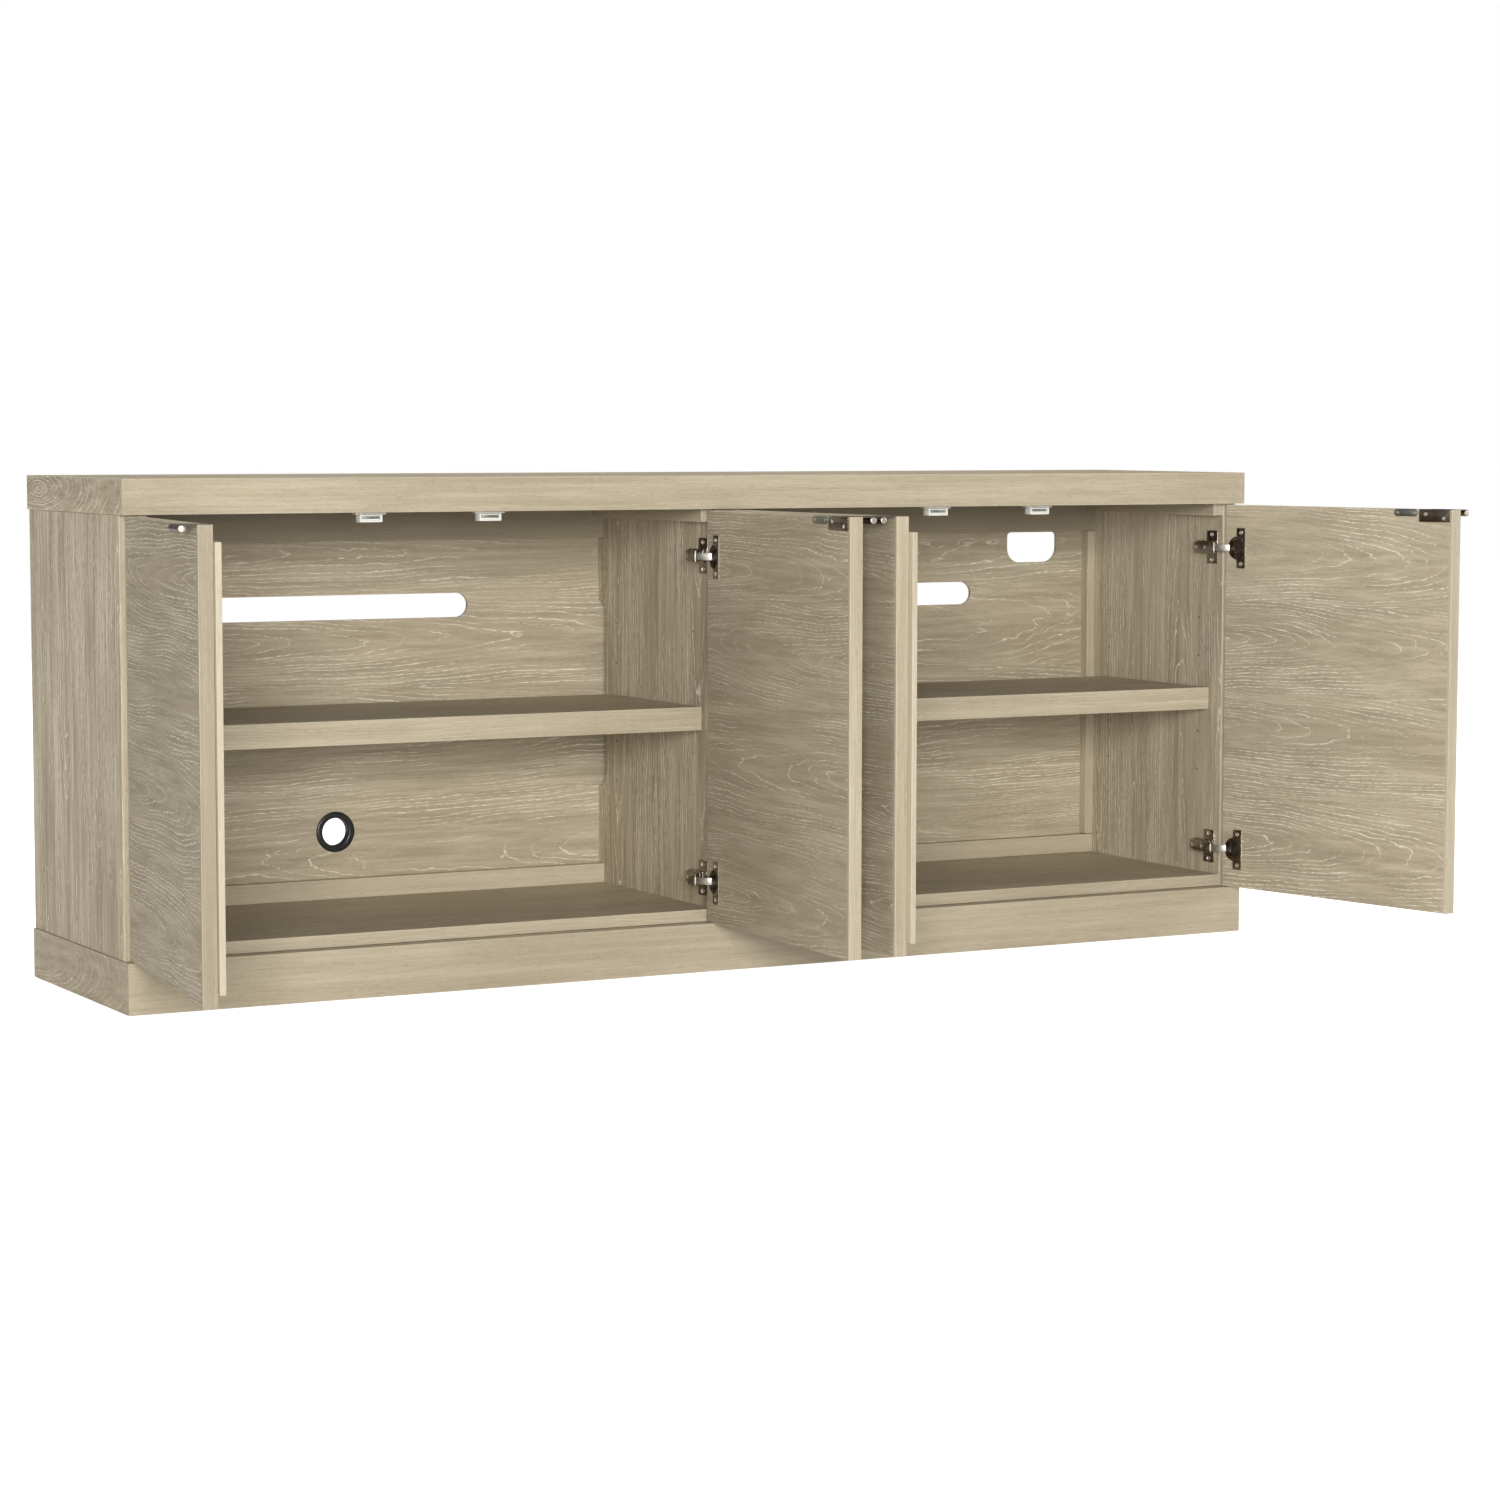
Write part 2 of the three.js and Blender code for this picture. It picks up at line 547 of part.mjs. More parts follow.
function addDoors() {
  for (const door of DOORS) {
    const leaf = new THREE.Group();
    leaf.position.set(door.edge + door.side * PIVOT.in, FRONT + PIVOT.back, 0);
    leaf.rotation.z = THREE.MathUtils.degToRad(-door.side * door.open);
    const links = new THREE.Group();
    links.position.set(door.edge + door.side * LINK_PIN.in, FRONT + LINK_PIN.back, 0);
    const linkAngle = LINK.closedAngle - LINK.turn * door.open;
    const fromX = door.side > 0 ? -linkAngle : linkAngle - 180;
    links.rotation.z = THREE.MathUtils.degToRad(fromX);
    addDoorPanel(door, leaf);
    if (door.astragal) {
      addAstragal(door, leaf);
    }
    addPull(door, leaf);
    for (const [level, z] of Object.entries(HINGE_HEIGHTS)) {
      addArm(door, level, z);
      addCup(door, level, z, leaf);
      addLink(door, level, z, links);
    }
    cabinet.add(leaf, links);
  }
}

addTop();
addPlinth();
addSides();
addPartition();
addDeckAndRails();
addBack();
addGrommet();
addShelves();
addCatches();
addDoors();

export default cabinet;
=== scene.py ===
"""Looks of the media cabinet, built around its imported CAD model. Blender 4.5, metres, +Z up."""

import json
import math
import random

import bmesh
import bpy
from mathutils import Matrix, Vector


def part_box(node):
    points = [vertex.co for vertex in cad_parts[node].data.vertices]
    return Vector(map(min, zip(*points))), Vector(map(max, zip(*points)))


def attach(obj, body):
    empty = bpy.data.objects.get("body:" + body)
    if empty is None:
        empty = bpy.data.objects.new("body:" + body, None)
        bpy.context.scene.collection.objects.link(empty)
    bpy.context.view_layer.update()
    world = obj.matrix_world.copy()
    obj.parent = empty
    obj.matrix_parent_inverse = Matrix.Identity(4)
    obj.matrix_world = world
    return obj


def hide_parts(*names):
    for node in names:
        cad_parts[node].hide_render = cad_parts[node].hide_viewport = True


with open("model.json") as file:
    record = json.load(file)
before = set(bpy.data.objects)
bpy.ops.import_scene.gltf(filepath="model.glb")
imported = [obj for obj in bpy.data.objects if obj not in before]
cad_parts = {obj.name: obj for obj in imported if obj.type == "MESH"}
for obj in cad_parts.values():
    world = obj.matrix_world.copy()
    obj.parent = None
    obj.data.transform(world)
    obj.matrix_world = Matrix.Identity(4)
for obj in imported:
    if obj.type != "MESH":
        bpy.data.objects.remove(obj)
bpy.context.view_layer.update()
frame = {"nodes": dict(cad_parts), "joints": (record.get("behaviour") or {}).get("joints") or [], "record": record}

SCENE = bpy.context.scene
MM = 0.001
SCALE = Matrix.Diagonal((MM, MM, MM, 1))  # from millimetres in the cabinet's frame to metres
X = Vector((1, 0, 0))
Y = Vector((0, 1, 0))
Z = Vector((0, 0, 1))
BAYS = (("left", -1), ("right", 1))  # with the sign of x on that side
DOORS = ("left_outer", "left_inner", "right_inner", "right_outer")

# Sizes of the CAD solids that the small pieces fit, mm.
SEAM = 0.3  # the gap between two solids that lie against each other
DOOR_WIDTH = 443
DOOR_THICKNESS = 19
DOOR_TOP = 661.5
DOOR_LIP = 438  # from a door's hinged edge to the solid strip along its free edge
CEILING = 662.7
DECK = 87.5
BAY_INNER = 14  # a bay's walls, from the middle of the cabinet
BAY_OUTER = 877.5
BACK_FRONT = 191  # the back panel's front face
HINGE_LEVELS = {"lower": 130, "upper": 595.5}  # heights of the hinges' middles
PIVOT_IN = 7  # the line a door turns about: in from its hinged edge and back from its face
PIVOT_BACK = 5
INNER_WALL = 7  # from a door's hinged edge in to the wall that its hinges stand on
OUTER_WALL = 18.5


# ---- Camera, light and floor ------------------------------------------------------------------

CAMERA_PLACE = (-2.5048, -4.8849, 0.7792)
CAMERA_TURN = (28.48, 4.96, 0.08)  # degrees to the right, down, and of roll
SENSOR = 36  # mm
LENS = 89.23  # mm
FAR = 500  # m

AMBIENT = 0.18
AMBIENT_COLOUR = (1.0, 0.99, 0.975, 1)
BACKDROP = 1.0  # the room's brightness to the camera
FLOOR_HALF = 60  # half the floor's width, m
FLOOR_DROP = 0.0005  # keeps the floor off the plinth's underside, m
FLOOR_GLOW = 0.86  # what the camera sees on top of the light that the floor throws back

WHITE_LIGHT = (1, 1, 1)
WARM_LIGHT = (1.0, 0.995, 0.985)
# Name, place, point it faces, width and height, watts, colour, and whether it shows in gloss.
SOFTBOXES = (
    ("key", (-3.7, -8.2, 1.8), (0, 0, 0.35), (3.4, 2.2), 715, WARM_LIGHT, True),
    ("side", (-5.0, -1.3, 1.1), (0, 0, 0.35), (1.6, 1.6), 42, WARM_LIGHT, True),
    ("right", (4.8, -2.6, 1.7), (0.9, 0, 0.35), (2.2, 1.8), 65, WHITE_LIGHT, True),
    ("over", (0.3, 0.6, 4.2), (0, 0.1, 0.35), (3.0, 1.6), 90, WHITE_LIGHT, False),
    ("back", (1.5, 6.5, 2.4), (0, 0, 0.35), (3.0, 2.0), 130, WHITE_LIGHT, False),
)


def add_camera():
    """The camera stands front left of the cabinet, a little above it, and looks slightly down."""
    yaw, pitch, roll = (math.radians(angle) for angle in CAMERA_TURN)
    ahead = math.cos(pitch)
    forward = Vector((math.sin(yaw) * ahead, math.cos(yaw) * ahead, -math.sin(pitch)))
    level = Vector((math.cos(yaw), -math.sin(yaw), 0))
    above = level.cross(forward)
    right = level * math.cos(roll) + above * math.sin(roll)
    up = above * math.cos(roll) - level * math.sin(roll)
    turn = Matrix((right, up, -forward)).transposed().to_4x4()
    data = bpy.data.cameras.new("camera")
    data.sensor_width = SENSOR
    data.lens = LENS
    data.clip_end = FAR
    camera = bpy.data.objects.new("camera", data)
    camera.matrix_world = Matrix.Translation(CAMERA_PLACE) @ turn
    SCENE.collection.objects.link(camera)
    SCENE.camera = camera


def add_softbox(name, place, target, size, watts, colour, glossy):
    """A soft area light. Without glossy it leaves no highlight, so that it can stand behind."""
    data = bpy.data.lights.new(name, "AREA")
    data.shape = "RECTANGLE"
    data.size, data.size_y = size
    data.energy = watts
    data.color = colour
    light = bpy.data.objects.new(name, data)
    light.location = place
    light.visible_glossy = glossy
    light.rotation_euler = (Vector(target) - Vector(place)).to_track_quat("-Z", "Y").to_euler()
    SCENE.collection.objects.link(light)


def add_world():
    """An even white room. What the camera sees of it is brighter than the light it gives."""
    world = bpy.data.worlds.new("studio")
    world.use_nodes = True
    nodes, links = world.node_tree.nodes, world.node_tree.links
    nodes.clear()
    output = nodes.new("ShaderNodeOutputWorld")
    mix = nodes.new("ShaderNodeMixShader")
    path = nodes.new("ShaderNodeLightPath")
    light = nodes.new("ShaderNodeBackground")
    shown = nodes.new("ShaderNodeBackground")
    light.inputs["Color"].default_value = AMBIENT_COLOUR
    light.inputs["Strength"].default_value = AMBIENT
    shown.inputs["Color"].default_value = (1, 1, 1, 1)
    shown.inputs["Strength"].default_value = BACKDROP
    links.new(path.outputs["Is Camera Ray"], mix.inputs["Fac"])
    links.new(light.outputs[0], mix.inputs[1])
    links.new(shown.outputs[0], mix.inputs[2])
    links.new(mix.outputs[0], output.inputs["Surface"])
    SCENE.world = world


def add_floor():
    """A pale floor. It looks white to the camera but throws back only the light that falls on it."""
    near, far = -FLOOR_HALF, FLOOR_HALF
    corners = [(near, near, 0), (far, near, 0), (far, far, 0), (near, far, 0)]
    mesh = bpy.data.meshes.new("floor")
    mesh.from_pydata(corners, [], [(0, 1, 2, 3)])
    floor = bpy.data.objects.new("floor", mesh)
    floor.location.z = -FLOOR_DROP
    SCENE.collection.objects.link(floor)
    t = Tree("pale_floor")
    seen = t.nodes.new("ShaderNodeLightPath").outputs["Is Camera Ray"]
    t.set(Base_Color=(0.80, 0.80, 0.80, 1), Roughness=0.9, Specular_IOR_Level=0.1)
    t.set(Emission_Color=(1, 1, 1, 1), Emission_Strength=t.math("MULTIPLY", seen, FLOOR_GLOW))
    mesh.materials.append(t.material)


# ---- Node helpers -----------------------------------------------------------------------------


class Tree:
    """Short calls for building a material's nodes. A value is a number, a colour or a socket."""

    def __init__(self, name):
        self.material = bpy.data.materials.new(name)
        self.material.use_nodes = True
        self.nodes = self.material.node_tree.nodes
        self.links = self.material.node_tree.links
        self.shader = self.nodes["Principled BSDF"]

    def put(self, socket, value):
        """Links a socket to another, or sets its number or colour."""
        if hasattr(value, "is_output"):
            self.links.new(value, socket)
        else:
            socket.default_value = value

    def math(self, operation, *values):
        node = self.nodes.new("ShaderNodeMath")
        node.operation = operation
        for socket, value in zip(node.inputs, values):
            self.put(socket, value)
        return node.outputs[0]

    def product(self, a, b):
        return self.math("MULTIPLY", a, b)

    def combine(self, x, y, z):
        node = self.nodes.new("ShaderNodeCombineXYZ")
        for socket, value in zip(node.inputs, (x, y, z)):
            self.put(socket, value)
        return node.outputs[0]

    def separate(self, vector):
        node = self.nodes.new("ShaderNodeSeparateXYZ")
        self.put(node.inputs[0], vector)
        return node.outputs

    def stretch(self, vector, x, y, z):
        node = self.nodes.new("ShaderNodeVectorMath")
        node.operation = "MULTIPLY"
        self.put(node.inputs[0], vector)
        node.inputs[1].default_value = (x, y, z)
        return node.outputs[0]

    def noise(self, vector, detail, scale=1.0, roughness=0.5):
        node = self.nodes.new("ShaderNodeTexNoise")
        self.put(node.inputs["Vector"], vector)
        node.inputs["Scale"].default_value = scale
        node.inputs["Detail"].default_value = detail
        node.inputs["Roughness"].default_value = roughness
        return node.outputs

    def step(self, value, low, high, to_low=0.0, to_high=1.0):
        """A smooth step: to_low where the value is below low, to_high where it is above high."""
        node = self.nodes.new("ShaderNodeMapRange")
        node.interpolation_type = "SMOOTHSTEP"
        self.put(node.inputs["Value"], value)
        self.put(node.inputs["From Min"], low)
        self.put(node.inputs["From Max"], high)
        node.inputs["To Min"].default_value = to_low
        node.inputs["To Max"].default_value = to_high
        return node.outputs["Result"]

    def mix(self, factor, a, b):
        node = self.nodes.new("ShaderNodeMix")
        node.data_type = "RGBA"
        self.put(node.inputs["Factor"], factor)
        self.put(node.inputs["A"], a if hasattr(a, "is_output") else (*a, 1))
        self.put(node.inputs["B"], b if hasattr(b, "is_output") else (*b, 1))
        return node.outputs["Result"]

    def attribute(self, name, output="Vector"):
        node = self.nodes.new("ShaderNodeAttribute")
        node.attribute_name = name
        return node.outputs[output]

    def place(self):
        return self.nodes.new("ShaderNodeTexCoord").outputs["Object"]

    def bump(self, height, strength, distance):
        node = self.nodes.new("ShaderNodeBump")
        node.inputs["Strength"].default_value = strength
        node.inputs["Distance"].default_value = distance
        self.put(node.inputs["Height"], height)
        self.links.new(node.outputs[0], self.shader.inputs["Normal"])

    def set(self, **values):
        for name, value in values.items():
            self.put(self.shader.inputs[name.replace("_", " ")], value)


# ---- Materials --------------------------------------------------------------------------------

RING = 0.0047  # between two growth rings, across the trunk, m
RING_SLOPE = 0.2  # how steeply the rings leave the board's face, for the width of their lines
LINE = 0.00075  # half the width of a limed line, m
LINE_LEAST = 0.012  # the least half width of a line, as a share of a year's growth
LINE_CORE = 0.30  # the share of a line's half width that is fully limed
HEART = 0.0005  # keeps the sums safe at the heart of the tree, m
YEARS = (70.0, 2.2)  # how soon the rings' spacing changes, per metre, and how many rings it shifts

SWAY_ACROSS = 0.034  # how far the rings wander across the board and into it, m
SWAY_DEEP = 0.022
TREMOR = 0.0055  # how far they tremble, m

# Noise that is drawn out along the grain: waves per metre along it and across it, detail, roughness.
SWAY = (3.2, 8.0, 1.5, 0.5)
RIPPLE = (24.0, 70.0, 2.0, 0.5)
DASHES = (80.0, 620.0, 2.0, 0.5)
PATCHES = (6.0, 20.0, 2.0, 0.5)
PALE_FLECKS = (110.0, 1500.0, 1.0, 0.5)
DARK_FLECKS = (75.0, 1100.0, 1.0, 0.5)
FIBRES = (20.0, 380.0, 3.0, 0.65)
CLOUDS = (2.6, 10.0, 3.0, 0.6)
STREAKS = (2.4, 85.0, 2.5, 0.6)

GROUND_DARK = (0.392, 0.332, 0.232)
GROUND_PALE = (0.478, 0.412, 0.296)
FIBRE = (0.335, 0.280, 0.192)
BAND_PALE = (0.600, 0.530, 0.400)
BAND_DARK = (0.275, 0.226, 0.152)
LATE_WOOD = (0.300, 0.248, 0.168)
FLECK_DARK = (0.215, 0.172, 0.112)
FLECK_PALE = (0.640, 0.575, 0.445)
LIME = (0.790, 0.735, 0.600)
# The colours a board's tone mixes towards. Where a tone stands for how a board is lit, they are painted light and
# painted shade.
PALE_TONE_AND_PAINTED_LIGHT = (0.680, 0.610, 0.470)
DARK_TONE_AND_PAINTED_SHADE = (0.235, 0.198, 0.140)
# Eased edges are painted paler: partly worn edges, partly a painted highlight.
EDGE_WEAR_AND_PAINTED_HIGHLIGHT = (0.640, 0.565, 0.430)
# A painted highlight: the pale metal colour along the thin sheet edges of hinge arms and cups.
PAINTED_EDGE_HIGHLIGHT = (0.74, 0.70, 0.60)


def drawn(t, grain, pattern, output="Fac"):
    """Noise in one of the patterns above."""
    along, across, detail, roughness = pattern
    stretched = t.stretch(grain, along, across, across)
    return t.noise(stretched, detail=detail, roughness=roughness)[output]


def ring_lines(t, grain):
    """The growth rings: how far through a year's growth each point is, from 0 to 1, and how limed
    the ring's line is there."""
    across, depth = t.separate(grain)[1:]
    sway = t.separate(drawn(t, grain, SWAY, "Color"))
    ripple = t.separate(drawn(t, grain, RIPPLE, "Color"))

    def wander(base, big, reach, small):
        bend = t.math("MULTIPLY_ADD", big, reach, -reach / 2)
        tremble = t.math("MULTIPLY_ADD", small, TREMOR, -TREMOR / 2)
        return t.math("ADD", base, t.math("ADD", bend, tremble))

    c = wander(across, sway[0], SWAY_ACROSS, ripple[0])
    d = wander(depth, sway[1], SWAY_DEEP, ripple[1])
    c_squared = t.product(c, c)
    d_squared = t.product(d, d)
    radius = t.math("SQRT", t.math("ADD", c_squared, d_squared))
    pace, shift = YEARS
    years = t.noise(t.combine(t.product(radius, pace), 0.0, 0.0), detail=1.0)["Fac"]
    rings = t.math("ADD", t.math("DIVIDE", radius, RING), t.product(years, shift))
    phase = t.math("FRACT", rings)
    climb = t.math("SQRT", t.math("MULTIPLY_ADD", d_squared, RING_SLOPE * RING_SLOPE, c_squared))
    steep = t.math("DIVIDE", climb, t.math("ADD", radius, HEART))
    width = t.math("MULTIPLY_ADD", steep, LINE / RING, LINE_LEAST)
    off = t.math("ABSOLUTE", t.math("SUBTRACT", phase, 0.5))
    return phase, t.step(off, t.product(width, LINE_CORE), width, 1.0, 0.0)


def make_oak():
    """Limed oak. The grain attribute holds the distance along the grain, and the distances across
    the board and into it from the heart of the tree, so its growth rings make cathedral figure.
    The look attribute holds the board's tone, which also carries painted light and shade; whether a
    face is an eased edge, painted paler as a worn edge and as a painted highlight; and the strength
    of its limed lines."""
    t = Tree("limed_oak")
    grain = t.attribute("grain")
    tone, edge_wear_and_painted_highlight, lines = t.separate(t.attribute("look"))
    phase, ring = ring_lines(t, grain)
    dash = t.step(drawn(t, grain, DASHES), 0.42, 0.55, 0.12, 1.0)
    patch = t.step(drawn(t, grain, PATCHES), 0.38, 0.60, 0.14, 1.0)
    pores = t.product(t.product(ring, dash), t.product(patch, lines))
    light_fleck = t.step(drawn(t, grain, PALE_FLECKS), 0.62, 0.74)
    dark_fleck = t.step(drawn(t, grain, DARK_FLECKS), 0.60, 0.74)
    fibre = drawn(t, grain, FIBRES)
    cloud = drawn(t, grain, CLOUDS)
    streak = drawn(t, grain, STREAKS)

    banded = t.math("MULTIPLY_ADD", lines, 0.20, 0.22)
    pale_band = t.product(t.step(streak, 0.50, 0.68), banded)
    dark_band = t.product(t.step(streak, 0.32, 0.50, 1.0, 0.0), banded)
    late = t.product(t.step(phase, 0.50, 1.0), 0.12)
    light = t.math("MAXIMUM", tone, 0.0)
    shade = t.math("MAXIMUM", t.product(tone, -1.0), 0.0)

    wood = t.mix(t.step(cloud, 0.30, 0.70), GROUND_DARK, GROUND_PALE)
    layers = (
        (t.step(fibre, 0.34, 0.70, 0.0, 0.40), FIBRE),
        (pale_band, BAND_PALE),
        (dark_band, BAND_DARK),
        (t.product(late, lines), LATE_WOOD),
        (t.product(dark_fleck, 0.42), FLECK_DARK),
        (t.product(light_fleck, 0.38), FLECK_PALE),
        (t.product(pores, 0.92), LIME),
        # Tone, paler or darker: on some boards this is painted light and painted shade.
        (light, PALE_TONE_AND_PAINTED_LIGHT),
        (shade, DARK_TONE_AND_PAINTED_SHADE),
        # Eased edges painted paler: worn edges and a painted highlight.
        (t.product(edge_wear_and_painted_highlight, 0.35), EDGE_WEAR_AND_PAINTED_HIGHLIGHT),
    )
    for amount, colour in layers:
        wood = t.mix(amount, wood, colour)
    rough = t.math("MULTIPLY_ADD", fibre, 0.22, 0.46)
    t.set(Base_Color=wood, Roughness=rough, Specular_IOR_Level=0.34)
    sunk = t.math("MAXIMUM", pores, dark_fleck)
    t.bump(t.math("SUBTRACT", t.product(fibre, 0.5), sunk), 0.30, 0.0002)
    return t.material


def make_metal(name, colour, worn, roughness):
    """Plated steel, with faint clouds in the plating, and fine scratches in its gloss. An attribute
    marks thin sheet edges, which get a painted highlight: a pale metal colour."""
    t = Tree(name)
    place = t.place()
    cloud = t.noise(place, scale=90.0, detail=3.0, roughness=0.6)["Fac"]
    scratch = t.noise(t.stretch(place, 300.0, 300.0, 2600.0), detail=2.0)["Fac"]
    base = t.mix(t.step(cloud, 0.35, 0.70), colour, worn)
    # Painted highlight on the marked thin sheet edges.
    base = t.mix(t.attribute("painted_edge_highlight", "Fac"), base, PAINTED_EDGE_HIGHLIGHT)
    spread = 0.22
    rough = t.math("MULTIPLY_ADD", scratch, spread, roughness - spread / 2)
    t.set(Base_Color=base, Roughness=rough, Metallic=1.0)
    t.bump(scratch, 0.08, 0.00005)
    return t.material


def make_plastic(name, colour, shade, roughness):
    """Moulded plastic with a fine grain."""
    t = Tree(name)
    place = t.place()
    cloud = t.noise(place, scale=60.0, detail=2.0)["Fac"]
    grain = t.noise(place, scale=2400.0, detail=1.0)["Fac"]
    rough = t.math("MULTIPLY_ADD", grain, 0.15, roughness)
    t.set(Base_Color=t.mix(cloud, colour, shade), Roughness=rough)
    t.bump(grain, 0.12, 0.00005)
    return t.material


# Each finish is a material and the record's slot for it.
OAK = (make_oak(), "oak")
BRONZE = (make_metal("bronze_plate", (0.215, 0.184, 0.145), (0.270, 0.235, 0.190), 0.28), "bronze_steel")
NICKEL = (make_metal("nickel_plate", (0.60, 0.58, 0.52), (0.52, 0.50, 0.45), 0.46), "nickel_steel")
CHAMPAGNE = (make_metal("champagne_plate", (0.52, 0.48, 0.40), (0.60, 0.56, 0.48), 0.46), "nickel_steel")
ZINC = (make_metal("zinc_plate", (0.300, 0.345, 0.330), (0.420, 0.445, 0.420), 0.36), "zinc_steel")
WHITE = (make_plastic("white_plastic", (0.78, 0.77, 0.72), (0.70, 0.69, 0.64), 0.38), "white_plastic")
BLACK = (make_plastic("black_plastic", (0.010, 0.010, 0.012), (0.016, 0.016, 0.018), 0.28), "black_plastic")


# ---- Making pieces ----------------------------------------------------------------------------

WELD = 1e-6  # corners closer than this are one, m
FLAT = 0.6  # faces that meet at less than this are one, degrees
SHARP = 40  # edges that turn by more than this are rounded, degrees


def piece(name, bm, finish, body, smooth=None):
    """Turns a bmesh into a finished piece on a body. smooth is the angle below which edges look round."""
    material, slot = finish
    mesh = bpy.data.meshes.new(name)
    bmesh.ops.recalc_face_normals(bm, faces=bm.faces)
    bm.to_mesh(mesh)
    bm.free()
    mesh.materials.append(material)
    made = bpy.data.objects.new(name, mesh)
    SCENE.collection.objects.link(made)
    if smooth:
        mesh.shade_smooth()
        mesh.set_sharp_from_angle(angle=math.radians(smooth))
    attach(made, body)
    return made


def node_bmesh(node):
    """A copy of a CAD node's mesh, with its flat faces made whole."""
    bm = bmesh.new()
    bm.from_mesh(frame["nodes"][node].data)
    bmesh.ops.remove_doubles(bm, verts=bm.verts, dist=WELD)
    bmesh.ops.dissolve_limit(bm, angle_limit=math.radians(FLAT), verts=bm.verts, edges=bm.edges)
    return bm


def ease_edges(bm, edges, width, clamp=False):
    """Rounds edges. With clamp, the rounding stops where two of them would meet."""
    bmesh.ops.bevel(
        bm, geom=edges, offset=width, segments=2, profile=0.5, affect="EDGES", clamp_overlap=clamp
    )


def soften(bm, width, shortest):
    """Rounds the sharp edges that are longer than shortest."""
    edges = [e for e in bm.edges if len(e.link_faces) == 2 and e.calc_length() > shortest]
    edges = [e for e in edges if e.calc_face_angle(0) > math.radians(SHARP)]
    ease_edges(bm, edges, width, clamp=True)


def body_of(node):
    bodies = frame["record"]["behaviour"]["bodies"]
    return next(body for body, nodes in bodies.items() if node in nodes)


def hinge_line(door):
    """The door's joint, which way its board runs from the hinges (1 towards +x when closed), and
    the foot of the line it turns about."""
    joint = next(j for j in frame["joints"] if j["name"] == f"door_{door}_swing")
    foot = Vector(joint["pos_m"])
    foot.z = 0
    return joint, -joint["axis"][2], foot


def case_frame(door):
    """From (distance in from the door's hinged edge, distance back from its outer face, height), in
    millimetres, to metres, for pieces that stay on the case beside a door."""
    _, side, foot = hinge_line(door)
    corner = Vector((foot.x - side * PIVOT_IN * MM, foot.y - PIVOT_BACK * MM, 0))
    return Matrix.Translation(corner) @ Matrix.Diagonal((side * MM, MM, MM, 1))


def door_frame(door):
    """The same distances for pieces on a door, as it stands at rest."""
    joint, side, foot = hinge_line(door)
    closed_at = joint["range_deg"][0]
    angle = math.radians(-closed_at) * joint["axis"][2]
    turn = Matrix.Translation(foot) @ Matrix.Rotation(angle, 4, "Z")
    closed = Matrix.Translation((-side * PIVOT_IN * MM, -PIVOT_BACK * MM, 0))
    return turn @ closed @ Matrix.Diagonal((side * MM, MM, MM, 1))


def direction(place, axis):
    """Where an axis points once a frame has placed it."""
    return (place.to_3x3() @ axis).normalized()


# ---- Boards -----------------------------------------------------------------------------------

END, EDGE, BROAD = range(3)  # a face of a board, by the axis that it faces along
SQUARE = 0.995  # a face whose normal has less than this along every axis is an eased edge
EDGE_TONE = 0.05
EDGE_HEART = 0.16  # on the narrow faces, how far the heart of the tree is at least, m
EDGE_DEEP = 0.03
EDGE_SLOPE = 0.01
EDGE_LINES = 0.25
LIP_TONE = 0.22  # the solid strip along a door's free edge
# Painted shade: the sides of pin holes are painted dark.
PIN_HOLE_PAINTED_SHADE = -0.9
HOLE_FACE = 30e-6  # narrow faces smaller than this, m2, are the sides of pin holes
BOARD_EASE = 0.9  # how wide a board's eased edges are, mm
BOARD_SHORTEST = 24  # shorter edges stay sharp, mm
STRIP_EASE = 0.8  # the same for a narrow strip, mm

# How the rings lie in a board: where their centre is across it, how deep it is under the face,
# how fast it goes deeper along the board, and how strong the limed lines are. Depths are in metres.
BOARD_FIGURE = {"centre": (0.3, 0.7), "deep": (0.004, 0.02), "slope": (0.10, 0.20), "lines": 1.0}
PLAIN_FIGURE = {"centre": (1.6, 1.9), "deep": (0.01, 0.02), "slope": (0.01, 0.02), "lines": 0.12}
STREAKED = {"slope": (0.02, 0.06), "deep": (0.0, 0.02), "lines": 2.3}
BURL = {"slope": (0.24, 0.28), "deep": (-0.016, -0.010), "lines": 1.8}
SLICED = {"slope": (0.03, 0.06), "deep": (0.0, 0.01)}
FAINT = {"lines": 0.5}
DOOR_FIGURE = {"deep": (0.002, 0.010), "slope": (0.05, 0.11)}
# The figure of a strip too narrow to have leaves.
STRIP_FIGURE = dict(PLAIN_FIGURE, low=-1, high=1, middle=0, half=0.2)
STRIP_TONE = 0.08

